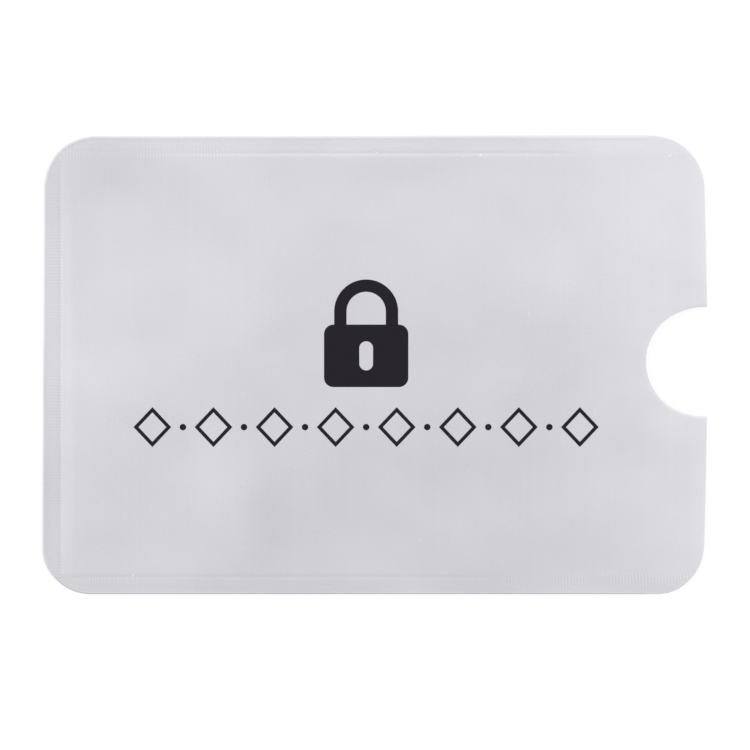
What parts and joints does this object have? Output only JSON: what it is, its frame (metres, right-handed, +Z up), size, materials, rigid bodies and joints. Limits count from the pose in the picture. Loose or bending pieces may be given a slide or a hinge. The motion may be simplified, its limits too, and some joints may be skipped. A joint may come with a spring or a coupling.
{
  "type": "card sleeve",
  "caption": "Flat foil sleeve that shields a bank card, welded along three sides and open at one short end, with a half-round thumb notch in the mouth.",
  "frame": {"origin": "under the middle of the sleeve's outline, on the surface that its rear wall lies on", "axes": "+X from the closed end to the mouth, +Y across the width, +Z up through the thickness, out of the front wall"},
  "size_m": [0.091, 0.063, 0.0012],
  "materials": {
    "silver_film": "satin silver, fine lines across the width",
    "aluminium_foil": "bright rolled foil",
    "sealing_liner": "soft satin"
  },
  "bodies": {
    "root": {"front_film": "silver_film", "front_foil": "aluminium_foil", "front_liner": "sealing_liner", "rear_film": "silver_film", "rear_foil": "aluminium_foil", "rear_liner": "sealing_liner", "upper_weld": "sealing_liner", "lower_weld": "sealing_liner", "end_weld": "sealing_liner"}
  },
  "joints": []
}
